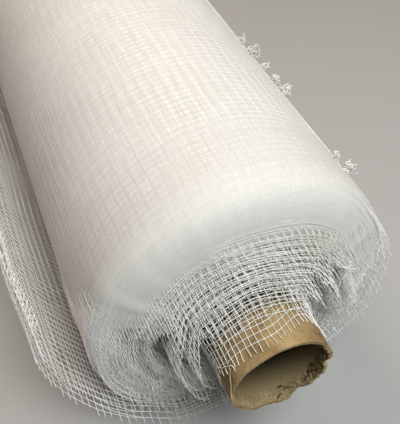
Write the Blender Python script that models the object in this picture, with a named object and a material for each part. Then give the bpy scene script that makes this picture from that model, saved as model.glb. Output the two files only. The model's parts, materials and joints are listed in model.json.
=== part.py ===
"""Roll of open insulation netting on a cardboard tube, with its last turn worked loose.

The tube lies along Y. The origin is on the floor, half way along the tube and below its axis.
The end at -Y is the one that has slipped: its inner turns run out along the tube.
"""

import math

import bmesh
import bpy
from mathutils import Vector

MM = 0.001

# Driving sizes, in metres
TUBE_LENGTH = 1.340
TUBE_RADIUS = 0.042
TUBE_WALL = 0.004
ROLL_RADIUS = 0.129
NET_WIDTH = 1.220
FLAT_WIDTH = 0.056
NET_THICKNESS = 0.0012
CLEARANCE = 0.0003

# Round pieces are turned in these numbers of steps, and points closer than this are one
TUBE_STEPS = 48
ROLL_STEPS = 90
MERGE_DISTANCE = 0.00002

# Heights above the floor and places along Y that follow from them
ROLL_FLAT_Z = NET_THICKNESS + CLEARANCE
AXIS_Z = ROLL_FLAT_Z + math.sqrt(ROLL_RADIUS ** 2 - (FLAT_WIDTH / 2) ** 2)
NEAR_Y = -TUBE_LENGTH / 2
FAR_Y = TUBE_LENGTH / 2


def scene_cleared():
    """Remove whatever the scene holds, so that the model starts from nothing."""
    for old in list(bpy.data.objects):
        bpy.data.objects.remove(old, do_unlink=True)


def finish(name, red, green, blue, roughness):
    """A plain, non-metallic Principled finish in linear colour."""
    material = bpy.data.materials.new(name)
    material.use_nodes = True
    shader = material.node_tree.nodes["Principled BSDF"]
    shader.inputs["Base Color"].default_value = (red, green, blue, 1.0)
    shader.inputs["Roughness"].default_value = roughness
    shader.inputs["Metallic"].default_value = 0.0
    return material


def piece(name, mesh_data, material, smooth_degrees):
    """Put a finished bmesh in the scene as one named object."""
    mesh = bpy.data.meshes.new(name)
    mesh_data.to_mesh(mesh)
    mesh_data.free()
    mesh.materials.append(material)
    mesh.shade_smooth()
    mesh.set_sharp_from_angle(angle=math.radians(smooth_degrees))
    new_object = bpy.data.objects.new(name, mesh)
    bpy.context.collection.objects.link(new_object)
    return new_object


def turned(section, steps):
    """Spin a closed section of (y, radius) points about the tube's axis."""
    shape = bmesh.new()
    points = [shape.verts.new((radius, y, AXIS_Z)) for y, radius in section]
    for start, end in zip(points, points[1:] + points[:1]):
        shape.edges.new((start, end))
    bmesh.ops.spin(
        shape,
        geom=shape.verts[:] + shape.edges[:],
        cent=(0, 0, AXIS_Z),
        axis=(0, 1, 0),
        angle=2 * math.pi,
        steps=steps,
        use_merge=True,
    )
    bmesh.ops.remove_doubles(shape, verts=shape.verts[:], dist=MERGE_DISTANCE)
    bmesh.ops.recalc_face_normals(shape, faces=shape.faces[:])
    return shape


def angle_about_axis(point):
    """Angle of a point about the tube, 0 at +X and 90 degrees at the top."""
    return math.atan2(point.z - AXIS_Z, point.x)


def smooth_step(value):
    """Ease from 0 to 1 as value goes from 0 to 1."""
    value = min(max(value, 0.0), 1.0)
    return value * value * (3 - 2 * value)


def eased(table, place):
    """The values at a place in a table whose rows are (place, value, ...), read between rows."""
    if place <= table[0][0]:
        return table[0][1:]
    for low, high in zip(table, table[1:]):
        if place <= high[0]:
            share = smooth_step((place - low[0]) / (high[0] - low[0]))
            return tuple(a + (b - a) * share for a, b in zip(low[1:], high[1:]))
    return table[-1][1:]


# Cardboard tube

# Distance in from each end of the tube at which it has a ring of points
TUBE_RINGS = (0.0, 0.003, 0.008, 0.020, 0.060)

# Places round the crushed rim: angle in degrees, its half width in degrees, how far the rim is
# pushed towards the axis and how far it is torn back along the tube, both in mm
RIM_DAMAGE = (
    (-100, 20, -1.0, 2.2),
    (-62, 16, 1.6, 3.0),
    (-38, 14, -1.2, 1.0),
    (-8, 12, 1.8, 2.4),
    (28, 14, 1.4, 0.8),
    (118, 30, 0.8, 0.0),
    (184, 18, 1.2, 2.0),
    (222, 16, -0.8, 1.2),
)
RIM_DAMAGE_REACH = 0.020


def rim_damage(angle):
    """Inward dent and torn-back depth of the rim at an angle, in metres."""
    dent = 0.0
    tear = 0.0
    for centre, half_width, dent_mm, tear_mm in RIM_DAMAGE:
        away = abs((math.degrees(angle) - centre + 180) % 360 - 180) / half_width
        share = smooth_step(1 - away)
        dent += dent_mm * MM * share
        tear += tear_mm * MM * share
    return dent, tear


def tube():
    """The cardboard tube, hollow right through, with its near rim crushed in use."""
    inner = TUBE_RADIUS - TUBE_WALL
    near = [NEAR_Y + ring for ring in TUBE_RINGS]
    far = [FAR_Y - ring for ring in reversed(TUBE_RINGS)]
    outside = [(y, TUBE_RADIUS) for y in near + far]
    inside = [(y, inner) for y in reversed(near + far)]
    shape = turned(outside + inside, TUBE_STEPS)
    for vert in shape.verts:
        reach = 1 - (vert.co.y - NEAR_Y) / RIM_DAMAGE_REACH
        if reach <= 0:
            continue
        angle = angle_about_axis(vert.co)
        dent, tear = rim_damage(angle)
        vert.co.x -= math.cos(angle) * dent * smooth_step(reach)
        vert.co.z -= math.sin(angle) * dent * smooth_step(reach)
        vert.co.y += tear * smooth_step(reach) ** 2
    return piece("core_tube", shape, finish("kraft cardboard", 0.39, 0.27, 0.13, 0.85), 40)


# Wound net

# The slipped end, from the innermost turn outwards: radius and distance in from the tube's end
NEAR_END = (
    (0.0438, 0.0215),
    (0.0446, 0.0300),
    (0.0462, 0.0395),
    (0.0515, 0.0412),
    (0.0575, 0.0425),
    (0.0635, 0.0468),
    (0.0695, 0.0478),
    (0.0755, 0.0488),
    (0.0815, 0.0528),
    (0.0875, 0.0538),
    (0.0935, 0.0549),
    (0.0995, 0.0586),
    (0.1055, 0.0600),
    (0.1110, 0.0634),
    (0.1165, 0.0668),
    (0.1210, 0.0708),
    (0.1248, 0.0760),
    (0.1276, 0.0836),
    (ROLL_RADIUS, 0.0950),
)

# The near end's shoulder, past this radius and inset, is tighter by this share low on the roll
SHOULDER_RADIUS = 0.1150
SHOULDER_INSET = 0.0650
SHOULDER_SHARE = 0.65

# The far end is the same turns' other edges, so it is dished by what the near end stands out
FAR_END = (
    (ROLL_RADIUS, 0.0400),
    (0.1278, 0.0335),
    (0.1245, 0.0310),
    (0.1130, 0.0400),
    (0.1010, 0.0500),
    (0.0890, 0.0580),
    (0.0770, 0.0640),
    (0.0650, 0.0695),
    (0.0530, 0.0760),
    (0.0460, 0.0860),
)

# Rings of points along the wound body, as distances in from the tube's near end
BODY_RINGS = (0.20, 0.44, 0.68, 0.92, 1.16)

# Folds of an end, where bunches of turns sag or stand out: start x and z, end x and z, half
# width and depth in mm. x and z are from the tube's axis, and a stand-out has a depth below 0
NEAR_FOLDS = (
    (-79, 6, -64, -74, 9, 19),
    (-68, 40, -58, -36, 6, -6),
    (-55, 10, -34, -84, 7, -5),
    (-48, -10, -20, -92, 9, 16),
    (-98, 14, -92, -40, 8, 7),
    (51, 4, 76, -50, 8, 14),
    (52, 40, 66, 4, 6, -5),
    (62, 50, 94, -20, 6, -6),
    (72, 46, 84, 24, 6, 7),
    (-30, -98, 54, -92, 18, 9),
)
FAR_FOLDS = (
    (-74, -10, -44, -78, 10, 10),
    (48, 30, 82, -30, 9, 9),
    (-30, 84, 40, 88, 10, -5),
)


def fold_depth(x, z, folds):
    """How far in the folds push a point of an end, in metres: each fades over twice its half width."""
    depth = 0.0
    point = Vector((x, z))
    for start_x, start_z, end_x, end_z, half_width, depth_mm in folds:
        start = Vector((start_x, start_z)) * MM
        run = Vector((end_x, end_z)) * MM - start
        along = min(max((point - start).dot(run) / run.length_squared, 0.0), 1.0)
        away = (point - start - run * along).length / (half_width * MM)
        depth += depth_mm * MM * smooth_step(1 - away / 2)
    return depth


def wound_net():
    """The wound body: a thick ring on the tube with coned, folded ends and a small flat below."""
    bore = TUBE_RADIUS + CLEARANCE
    near_face = [(NEAR_Y + inset, radius) for radius, inset in NEAR_END]
    body = [(NEAR_Y + ring, ROLL_RADIUS) for ring in BODY_RINGS]
    far_face = [(FAR_Y - inset, radius) for radius, inset in FAR_END]
    bore_line = [(far_face[-1][0], bore), (0.0, bore), (near_face[0][0], bore)]
    shape = turned(near_face + body + far_face + bore_line, ROLL_STEPS)
    # The innermost turns lie on the tube as a sleeve, which no fold reaches
    sleeve_radius = NEAR_END[2][0]
    for vert in shape.verts:
        x = vert.co.x
        z = vert.co.z - AXIS_Z
        radius = math.hypot(x, z)
        if sleeve_radius < radius < ROLL_RADIUS - CLEARANCE:
            if vert.co.y < 0:
                vert.co.y += fold_depth(x, z, NEAR_FOLDS)
            else:
                vert.co.y -= fold_depth(x, z, FAR_FOLDS)
        inset = vert.co.y - NEAR_Y
        if radius > SHOULDER_RADIUS and SHOULDER_INSET < inset < BODY_RINGS[0]:
            low = 1 - smooth_step(z / ROLL_RADIUS)
            vert.co.y -= (inset - SHOULDER_INSET) * SHOULDER_SHARE * low
        vert.co.z = max(vert.co.z, ROLL_FLAT_Z)
    return piece("net_roll", shape, finish("white scrim netting", 0.84, 0.83, 0.79, 0.7), 50)


# Loose last turn

# Its section from the edge that is still wound, clockwise as seen from the near end. The first
# part lies on the roll: start and end angle in degrees
WOUND_PART = (188, 40)

# Then it stands off the roll down the right side: angle and stand-off in mm
RIGHT_STAND_OFF = (
    (40, 0.0),
    (28, 1.8),
    (16, 4.2),
    (0, 7.5),
    (-16, 9.6),
    (-32, 10.2),
    (-48, 8.2),
    (-60, 4.8),
    (-68, 2.4),
    (-76, 0.7),
)

# Then it lies on the floor, and its free end rises on the left: x and z in mm from the axis
FLOOR_X = (22, 0, -22, -40)
FREE_END = (
    (-56, -126.2),
    (-70, -121.4),
    (-84, -112.0),
    (-98, -100.0),
    (-112, -85.5),
    (-125, -69.0),
    (-136, -52.0),
    (-146, -34.0),
    (-154, -16.0),
    (-160, 2.0),
    (-164, 20.0),
    (-165.5, 38.0),
    (-164, 54.0),
    (-160, 66.0),
)

# How the loose turn varies along the roll: distance in from the tube's near end, share of the
# right side's stand-off, and how much further out and up the free edge reaches in mm
ALONG_ROLL = (
    (0.05, 1.00, -2.0, 0.0),
    (0.14, 0.75, 7.0, 2.0),
    (0.26, 0.55, 13.0, 4.0),
    (0.40, 0.95, 10.0, -2.0),
    (0.54, 0.60, 6.0, -6.0),
    (0.70, 1.10, 12.0, 3.0),
    (0.88, 0.70, 8.0, 6.0),
    (1.06, 0.90, 2.0, -4.0),
    (1.20, 0.65, -4.0, -2.0),
    (1.32, 1.00, -8.0, 4.0),
)

# Rows of points along the loose turn, as shares of the net's width
ROW_SHARES = (0.0, 0.02, 0.06, 0.12, 0.20, 0.30, 0.41, 0.52, 0.64, 0.76, 0.87, 0.95, 1.0)

# Where its near edge lies, by the share of the way along its section: distance in from the
# tube's near end
NEAR_EDGE = (
    (0.00, 0.098),
    (0.40, 0.098),
    (0.47, 0.091),
    (0.53, 0.080),
    (0.60, 0.068),
    (0.70, 0.058),
    (0.80, 0.055),
    (0.92, 0.060),
    (1.00, 0.068),
)


def loose_section(slack):
    """Mid-line of the loose turn's section as (x, z from the axis) points, for a share of slack."""
    touching = ROLL_RADIUS + CLEARANCE + NET_THICKNESS / 2
    step = 360 // ROLL_STEPS
    start, stop = WOUND_PART
    last = RIGHT_STAND_OFF[-1][0]
    stand_off = sorted(RIGHT_STAND_OFF)
    floor = NET_THICKNESS / 2 - AXIS_Z
    section = []
    for angle in range(start, last - 1, -step):
        radius = touching
        if angle < stop:
            radius += eased(stand_off, angle)[0] * MM * slack
        x = radius * math.cos(math.radians(angle))
        z = radius * math.sin(math.radians(angle))
        section.append((x, max(z, floor)))
    section += [(x * MM, floor) for x in FLOOR_X]
    section += [(x * MM, z * MM) for x, z in FREE_END]
    return section


def loose_turn():
    """The last turn: wound over the top, slack on the right, flat below, curling up on the left."""
    last = len(loose_section(1.0)) - 1
    last_row = len(ROW_SHARES) - 1
    shape = bmesh.new()
    bmesh.ops.create_grid(shape, x_segments=last, y_segments=last_row, size=1.0)
    for vert in shape.verts:
        index = round((vert.co.x + 1) / 2 * last)
        row = round((vert.co.y + 1) / 2 * last_row)
        inset = eased(NEAR_EDGE, index / last)[0] + ROW_SHARES[row] * NET_WIDTH
        slack, out, up = eased(ALONG_ROLL, inset)
        x, z = loose_section(slack)[index]
        # 0 where the sheet still lies on the floor, 1 at its free edge
        rise = max(index - last + len(FREE_END), 0) / len(FREE_END)
        vert.co.x = x - out * MM * rise ** 2
        vert.co.y = NEAR_Y + inset
        vert.co.z = AXIS_Z + z + up * MM * rise ** 3
    bmesh.ops.recalc_face_normals(shape, faces=shape.faces[:])
    sheet = piece("loose_turn", shape, finish("loose scrim netting", 0.80, 0.80, 0.77, 0.7), 60)
    solid = sheet.modifiers.new("net thickness", "SOLIDIFY")
    solid.thickness = NET_THICKNESS
    solid.offset = 0.0
    solid.use_even_offset = True
    return sheet


scene_cleared()
tube()
wound_net()
loose_turn()
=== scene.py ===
"""Looks of the roll of insulation netting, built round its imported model.

The tube lies along Y with its slipped end at -Y, and the floor is Z = 0. Lengths are in metres
unless a name says mm. The sections follow the making: the tube, the net wound on it, the turns
that slipped and loosened at one end, the other end, the loose last turn, what has frayed, and
then the studio.
"""

import json
import math

import bmesh
import bpy
import numpy as np
from mathutils import Matrix, Vector


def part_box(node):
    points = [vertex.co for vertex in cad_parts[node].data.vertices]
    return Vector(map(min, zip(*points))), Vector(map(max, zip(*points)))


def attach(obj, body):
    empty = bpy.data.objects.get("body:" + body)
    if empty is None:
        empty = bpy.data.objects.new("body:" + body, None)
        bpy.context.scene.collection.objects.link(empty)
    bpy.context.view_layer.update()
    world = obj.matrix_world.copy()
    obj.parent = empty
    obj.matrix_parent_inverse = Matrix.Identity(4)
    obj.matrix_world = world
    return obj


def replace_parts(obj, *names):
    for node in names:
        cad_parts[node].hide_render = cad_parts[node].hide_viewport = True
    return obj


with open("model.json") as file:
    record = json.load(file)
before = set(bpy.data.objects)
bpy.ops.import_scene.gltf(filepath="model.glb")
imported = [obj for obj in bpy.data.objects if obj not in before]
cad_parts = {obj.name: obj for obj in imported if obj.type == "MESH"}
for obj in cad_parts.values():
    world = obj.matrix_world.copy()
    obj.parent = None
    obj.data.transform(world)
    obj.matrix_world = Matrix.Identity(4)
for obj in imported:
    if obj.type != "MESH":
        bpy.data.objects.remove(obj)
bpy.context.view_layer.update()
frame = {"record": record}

# Cardboard tube
# A 3 inch core: strips of kraft paper wound in a spiral and glued, then cut to length. The far
# rim is a clean cut, and the near one is crushed and torn, with its plies lifting.

MM = 0.001
MOUNTS = {mount["name"]: mount for mount in frame["record"]["mounts"]}
AXIS_Z = MOUNTS["tube_far_end"]["pos_m"][2]
TUBE_LOW, TUBE_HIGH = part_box("core_tube")
NEAR_Y = TUBE_LOW.y
FAR_Y = TUBE_HIGH.y
TUBE_RADIUS = TUBE_HIGH.x
TUBE_WALL = 0.004
BORE_RADIUS = TUBE_RADIUS - TUBE_WALL
TUBE_STEPS = 280

# Distance in from an end at which the tube has rings of points, in mm, and across its wall
TUBE_RINGS_MM = (0, 0.5, 1.2, 2.2, 3.4, 5, 7, 9.5, 13, 18, 26, 30.5, 32, 33.5, 35, 40, 80, 200)
WALL_RINGS_MM = (0, 0.5, 1.2, 2, 2.8, 3.5, 4)

# The crushed rim, round the tube: angle and half width in degrees, dent towards the axis and
# depth torn back in mm
RIM_DAMAGE = (
    (-100, 20, -0.8, 2.2), (-62, 16, 1.6, 3.0), (-38, 14, -0.9, 1.0), (-8, 12, 1.8, 2.4),
    (28, 14, 1.4, 0.8), (118, 30, 0.8, 0.0), (184, 18, 1.2, 2.0), (222, 16, -0.6, 1.2),
)
DENT_REACH = 0.020

# Where the rim is ragged, from clean at 0 to torn at 1, by angle in degrees, and how far in its
# torn edge, its ripples and its unevenness reach
RAGGED = (
    (0, 1.0), (20, 0.8), (40, 0.3), (150, 0.15), (180, 0.3), (220, 0.5), (290, 0.6), (315, 1.0),
    (360, 1.0),
)
RAGGED_REACH = 0.007
RIPPLED_REACH = 0.010
UNEVEN_REACH = 0.06

# A small gouge through the outer ply: angle in degrees, distance in and half width in mm
GOUGE = (125, 31.5, 4.0)
GOUGE_DEPTH = 0.0012

# Wear has rounded the rim's inner edge: how much of the wall it has taken, and how far in. The
# inner plies are torn up to a little further in
RIM_WORN_SHARE = 0.50
RIM_WORN_REACH = 0.007
TORN_REACH = 0.013
TORN_FADE = 0.008
TORN_DEPTH = 0.0010

KRAFT_OUTSIDE = "#AD956B"
KRAFT_OUTSIDE_DARK = "#8E7551"
KRAFT_SCUFFED = "#978561"
# Painted shade deep in the bore
KRAFT_BORE_SHADE = "#2C2519"
KRAFT_TORN = "#AD9871"
KRAFT_TORN_DARK = "#33230F"
KRAFT_GRIME = "#5A4930"
# Painted shade on the outside under the slipped turns
KRAFT_SHADE_UNDER_NET = "#2E2415"

# The paper's marks, counted per metre: blotches 26 mm across, creases 8 mm, torn fur 2.3 mm and
# fibres 1.1 mm
BLOTCHES_PER_M = 38.0
CREASES_PER_M = 120.0
FUR_PER_M = 430.0
FIBRES_PER_M = 900.0

# The skin outside and the lining of the bore: depth under that face at which it starts and is full
SKIN_DEPTHS = (0.0022, 0.0008)
LINING_DEPTHS = (0.0010, 0.0002)

# Distance in from the rim at which painted shade in the bore, and painted shade under the net, start and
# are full
BORE_SHADE_INSETS = (0.006, 0.034)
SHADE_INSETS = (0.033, 0.046)

# Setting of a mix node that mixes colours
RGBA = {"data_type": "RGBA"}


def linear(hex_colour):
    """An sRGB hex colour as linear RGBA."""
    channels = [int(hex_colour[place : place + 2], 16) / 255 for place in (1, 3, 5)]
    return [c / 12.92 if c <= 0.04045 else ((c + 0.055) / 1.055) ** 2.4 for c in channels] + [1.0]


def put(material, node, inputs):
    """Give a node's inputs their values, their hex colours or their links from other nodes."""
    for name, value in inputs.items():
        if isinstance(value, bpy.types.NodeSocket):
            material.node_tree.links.new(value, node.inputs[name])
        else:
            node.inputs[name].default_value = linear(value) if isinstance(value, str) else value


def add(material, kind, inputs=None, output=0, **settings):
    """Add one shader node with its settings and its inputs, and give one of its outputs."""
    node = material.node_tree.nodes.new("ShaderNode" + kind)
    for name, value in settings.items():
        setattr(node, name, value)
    put(material, node, inputs or {})
    return node.outputs[output]


def bare_material(name):
    """A node material that holds its Principled shader alone, and that shader."""
    material = bpy.data.materials.new(name)
    material.use_nodes = True
    return material, material.node_tree.nodes["Principled BSDF"]


def smooth(value):
    """Ease from 0 to 1 as value goes from 0 to 1, for numbers and arrays."""
    value = np.clip(value, 0.0, 1.0)
    return value * value * (3 - 2 * value)


def wander(seed, place, wavelength):
    """A smooth random line between about -1 and 1 along place, with waves of about that length."""
    draw = np.random.RandomState(seed)
    total = 0.0
    for share in (1.0, 0.62, 0.37):
        total = total + np.sin(place * 2 * math.pi / (wavelength * share) + draw.uniform(0, 6.28)) * share
    return total / 1.6


def share_at(table, angle):
    """Read a table of degrees from 0 to 360, and a share at each, at angles in radians."""
    return np.interp(np.degrees(angle) % 360, *zip(*table))


def about_axis(radius, angle, y):
    """Place at a radius and an angle about the tube's axis."""
    return radius * np.cos(angle), y, AXIS_Z + radius * np.sin(angle)


def coordinates(mesh):
    """The mesh's points as an array with a row for each."""
    flat = np.empty(len(mesh.vertices) * 3, np.float32)
    mesh.vertices.foreach_get("co", flat)
    return flat.reshape(-1, 3).astype(float)


def moved_to(mesh, x, y, z):
    """Give the mesh's points these coordinates."""
    mesh.vertices.foreach_set("co", np.stack((x, y, z), 1).astype(np.float32).ravel())
    mesh.update()


def noted(piece, name, values):
    """Keep a value at each of a piece's points, for its material to read."""
    attribute = piece.data.attributes.new(name, "FLOAT", "POINT")
    attribute.data.foreach_set("value", values.astype(np.float32))


def finished(name, shape, material, smooth_degrees=60):
    """Make a bmesh a piece of the roll, with its finish, riding on the part's one body."""
    mesh = bpy.data.meshes.new(name)
    shape.to_mesh(mesh)
    shape.free()
    mesh.materials.append(material)
    mesh.shade_smooth()
    mesh.set_sharp_from_angle(angle=math.radians(smooth_degrees))
    piece = bpy.data.objects.new(name, mesh)
    bpy.context.scene.collection.objects.link(piece)
    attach(piece, "root")
    return piece


def turned(section, steps):
    """Spin a closed section of (radius, y) points about the tube's axis, from below."""
    shape = bmesh.new()
    points = [shape.verts.new((0.0, y, AXIS_Z - radius)) for radius, y in section]
    for start, end in zip(points, points[1:] + points[:1]):
        shape.edges.new((start, end))
    bmesh.ops.spin(
        shape,
        geom=shape.verts[:] + shape.edges[:],
        cent=(0, 0, AXIS_Z),
        axis=(0, 1, 0),
        angle=2 * math.pi,
        steps=steps,
        use_merge=True,
    )
    bmesh.ops.remove_doubles(shape, verts=shape.verts[:], dist=0.00001)
    bmesh.ops.recalc_face_normals(shape, faces=shape.faces[:])
    return shape


def kraft_board():
    """Kraft cardboard: matt brown paper with fibres and blotches, scuffed, furry where torn, with painted
    shade in the bore and under the net.
    """
    material, shader = bare_material("kraft_board_spiral_wound")
    place = add(material, "TexCoord", output="Object")
    along = add(material, "SeparateXYZ", {0: place}, "Y")
    centred = add(material, "VectorMath", {0: place, 1: (0, 0, AXIS_Z)}, operation="SUBTRACT")
    flat = add(material, "VectorMath", {0: centred, 1: (1, 0, 1)}, operation="MULTIPLY")
    radius = add(material, "VectorMath", {0: flat}, "Value", operation="LENGTH")
    blotches, creases, fur, fibres = (
        add(
            material,
            "TexNoise",
            {"Vector": place, "Scale": scale, "Detail": detail, "Roughness": rough, "Distortion": curl},
        )
        for scale, detail, rough, curl in (
            (BLOTCHES_PER_M, 8.0, 0.62, 0.0),
            (CREASES_PER_M, 5.0, 0.6, 0.0),
            (FUR_PER_M, 4.0, 0.75, 1.2),
            (FIBRES_PER_M, 3.0, 0.7, 0.6),
        )
    )
    outside, inside, bore_shade, shaded, pale, grime, tufts = (
        add(material, "MapRange", {"Value": value, "From Min": start, "From Max": full, "To Max": most})
        for value, start, full, most in (
            (radius, TUBE_RADIUS - SKIN_DEPTHS[0], TUBE_RADIUS - SKIN_DEPTHS[1], 1.0),
            (radius, BORE_RADIUS + LINING_DEPTHS[0], BORE_RADIUS + LINING_DEPTHS[1], 1.0),
            (along, NEAR_Y + BORE_SHADE_INSETS[0], NEAR_Y + BORE_SHADE_INSETS[1], 1.0),
            (along, NEAR_Y + SHADE_INSETS[0], NEAR_Y + SHADE_INSETS[1], 1.0),
            (blotches, 0.38, 0.68, 1.0),
            (blotches, 0.50, 0.30, 0.55),
            (fur, 0.44, 0.68, 1.0),
        )
    )
    toning = {"From Min": 0.35, "From Max": 0.65, "To Min": 0.76, "To Max": 1.12}
    fibre_tone = add(material, "MapRange", {"Value": fibres, **toning})
    torn = add(material, "Attribute", output="Fac", attribute_name="torn")
    # Outside, painted shade darkens it from where the slipped turns begin
    browns = {"Factor": pale, "A": KRAFT_OUTSIDE_DARK, "B": KRAFT_OUTSIDE}
    skin = add(material, "Mix", browns, "Result", **RGBA)
    skin = add(material, "Mix", {"Factor": shaded, "A": skin, "B": KRAFT_SHADE_UNDER_NET}, "Result", **RGBA)
    # The inner ply is scuffed pale near the cut, and painted shade darkens it further in
    inner = add(material, "Mix", {"Factor": bore_shade, "A": KRAFT_SCUFFED, "B": KRAFT_BORE_SHADE}, "Result", **RGBA)
    lined = add(material, "Mix", {"Factor": inside, "A": KRAFT_TORN, "B": inner}, "Result", **RGBA)
    board = add(material, "Mix", {"Factor": outside, "A": lined, "B": skin}, "Result", **RGBA)
    grimy = add(material, "Mix", {"Factor": grime, "A": board, "B": KRAFT_GRIME}, "Result", **RGBA)
    toned = add(material, "VectorMath", {0: grimy, "Scale": fibre_tone}, operation="SCALE")
    # Torn plies are furry, and mottled dark brown with pale fibres
    furry = add(material, "Mix", {"Factor": tufts, "A": KRAFT_TORN_DARK, "B": KRAFT_TORN}, "Result", **RGBA)
    worn = add(material, "Mix", {"Factor": torn, "A": toned, "B": furry}, "Result", **RGBA)
    low = add(material, "Bump", {"Height": creases, "Strength": 0.55, "Distance": 0.0012})
    fine = add(material, "Bump", {"Height": fibres, "Strength": 0.5, "Distance": 0.0003, "Normal": low})
    matt = {"Roughness": 0.86, "Specular IOR Level": 0.25}
    put(material, shader, {"Base Color": worn, "Normal": fine, **matt})
    return material


def tube():
    """The tube with its crushed rim: dented, torn back and ragged."""
    rings = np.array(TUBE_RINGS_MM) * MM
    ys = [*(NEAR_Y + rings), *(FAR_Y - rings[::-1])]
    wall = [TUBE_RADIUS - ring * MM for ring in WALL_RINGS_MM]
    section = [(wall[0], y) for y in ys] + [(radius, FAR_Y) for radius in wall[1:-1]]
    section += [(wall[-1], y) for y in reversed(ys)] + [(radius, NEAR_Y) for radius in reversed(wall[1:-1])]
    piece = finished("kraft_tube", turned(section, TUBE_STEPS), kraft_board(), 50)
    x, y, z = coordinates(piece.data).T
    z = z - AXIS_Z
    angle = np.arctan2(z, x)
    radius = np.hypot(x, z)
    inset = y - NEAR_Y
    dent = np.zeros_like(x)
    tear = np.zeros_like(x)
    for centre, half_width, dent_mm, tear_mm in RIM_DAMAGE:
        share = smooth(1 - np.abs((np.degrees(angle) - centre + 180) % 360 - 180) / half_width)
        dent += dent_mm * MM * share
        tear += tear_mm * MM * share
    ragged = share_at(RAGGED, angle)
    around = angle * TUBE_RADIUS
    fringe = 0.00045 * wander(11, around, 0.0075) + 0.00035 * wander(12, around + radius * 2.0, 0.0031)
    tear += ragged * smooth(1 - inset / RAGGED_REACH) * fringe
    dent += ragged * smooth(1 - inset / RIPPLED_REACH) * 0.0005 * wander(13, around + inset * 0.8, 0.0093)
    dent += 0.00025 * wander(14, around + inset * 1.6, 0.024) * smooth(1 - inset / UNEVEN_REACH)
    depth = (TUBE_RADIUS - radius) / TUBE_WALL
    inner = smooth((depth - 0.45) / 0.4)
    band = ragged * smooth((TORN_REACH - inset) / TORN_FADE) * inner
    rough = 0.5 * wander(15, around + inset * 2.1, 0.0052)
    rough += 0.5 * wander(16, around * 0.7 - inset * 3.3, 0.0029)
    gouge_degrees, gouge_inset, gouge_half = GOUGE
    gouge_away = np.hypot((angle - math.radians(gouge_degrees)) * TUBE_RADIUS, inset - gouge_inset * MM)
    gouge_away = gouge_away * (1 + 0.35 * wander(17, around + inset * 1.7, 0.0061))
    gouge = smooth(1.5 - gouge_away / (gouge_half * MM)) * (depth < 0.5)
    noted(piece, "torn", np.clip(band * (0.75 + 0.45 * rough) + gouge, 0.0, 1.0))
    radius -= GOUGE_DEPTH * gouge
    worn = RIM_WORN_SHARE * smooth(1 - inset / RIM_WORN_REACH) * (1 - 0.7 * ragged)
    radius = TUBE_RADIUS - (TUBE_RADIUS - radius) * (1 - worn)
    reach = smooth(1 - inset / DENT_REACH)
    radius -= band * TORN_DEPTH * (0.3 + rough) + dent * reach
    moved_to(piece.data, *about_axis(radius, angle, y + tear * reach**2))
    return piece


kraft_tube = tube()
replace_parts(kraft_tube, "core_tube")

# Lifted plies
# Where the rim is torn, strips of the tube's inner paper plies have split off and curl inwards.
# They are the tube's own paper, still glued to it at one end.

PLY_THICKNESS = 0.0004
PLY_COUNT = 54
PLY_FROM_DEGREES = -84
PLY_TO_DEGREES = 24

# Ranges of a tongue's width, length, distance in from the rim to its root, curl in radians,
# skew, and distance out from the bore's wall
PLY_RANGES = (
    (0.0008, 0.0036), (0.0015, 0.0046), (0.0045, 0.0115), (0.6, 2.2), (-0.6, 0.6), (-0.0001, 0.0003),
)


def lifted_plies():
    """Small torn tongues of paper standing in from the wall just behind the rim."""
    draw = np.random.RandomState(21)
    whole = bmesh.new()
    for index in range(PLY_COUNT):
        share = (index + draw.uniform(-0.5, 0.5)) / PLY_COUNT
        angle = math.radians(PLY_FROM_DEGREES + (PLY_TO_DEGREES - PLY_FROM_DEGREES) * share)
        width, length, root, curl, skew, out = (draw.uniform(*span) for span in PLY_RANGES)
        radius = BORE_RADIUS + out
        made = bmesh.ops.create_grid(whole, x_segments=3, y_segments=5, size=0.5)["verts"]
        for vert in made:
            across = vert.co.x
            along = vert.co.y + 0.5
            taper = 1 - 0.6 * along * (1 + 0.8 * across)
            bend = curl * along
            off = length * math.sin(bend) / curl
            stand = length * (1 - math.cos(bend)) / curl + 0.0004 * abs(across)
            local = angle + (across * width * taper + skew * off) / radius
            vert.co = about_axis(radius - stand, local, NEAR_Y + root - off)
    bmesh.ops.recalc_face_normals(whole, faces=whole.faces[:])
    piece = finished("torn_plies", whole, kraft_tube.data.materials[0])
    noted(piece, "torn", np.ones(len(piece.data.vertices)))
    thicken = piece.modifiers.new("ply", "SOLIDIFY")
    thicken.thickness = PLY_THICKNESS
    thicken.offset = 0.0
    return piece


lifted_plies()

# Wound body
# More than a hundred turns of white scrim netting, wound tight on the tube. So many open layers
# lie on each other that they look solid, with small pits, and faint lines of painted shade where
# cells line up.

ROLL_RADIUS = 0.129
FLAT_SHARE = 0.97615
NET_WIDTH = 1.220
AROUND_COUNT = 84
LENGTHWISE_PITCH = 2 * math.pi * ROLL_RADIUS / AROUND_COUNT
ROUND_PITCH = 0.0062

# Outline of the roll from the tube's near end: radius and distance in, in mm. The first part is
# the sleeve that the innermost turns make on the tube
OUTLINE_MM = (
    (43.3, 0.0), (43.8, 21.5), (44.6, 30.0), (46.6, 37.5), (51.5, 41.4), (63.5, 46.6), (75.5, 49.6),
    (87.5, 53.8), (99.5, 58.6), (111.0, 63.4), (116.5, 66.8), (121.0, 70.8), (124.8, 76.0),
    (127.6, 83.6), (129.0, 95.0), (129.0, 1306.0),
)
OUTLINE_STEP = 0.001
OUTLINE_SOFTENED_STEPS = 7

# The shoulder's lower half is tighter: it is drawn towards the near end by this share
SHOULDER_FROM = 0.065
SHOULDER_PEAK = 0.095
SHOULDER_TO = 0.200
SHOULDER_SHARE = 0.65

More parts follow.
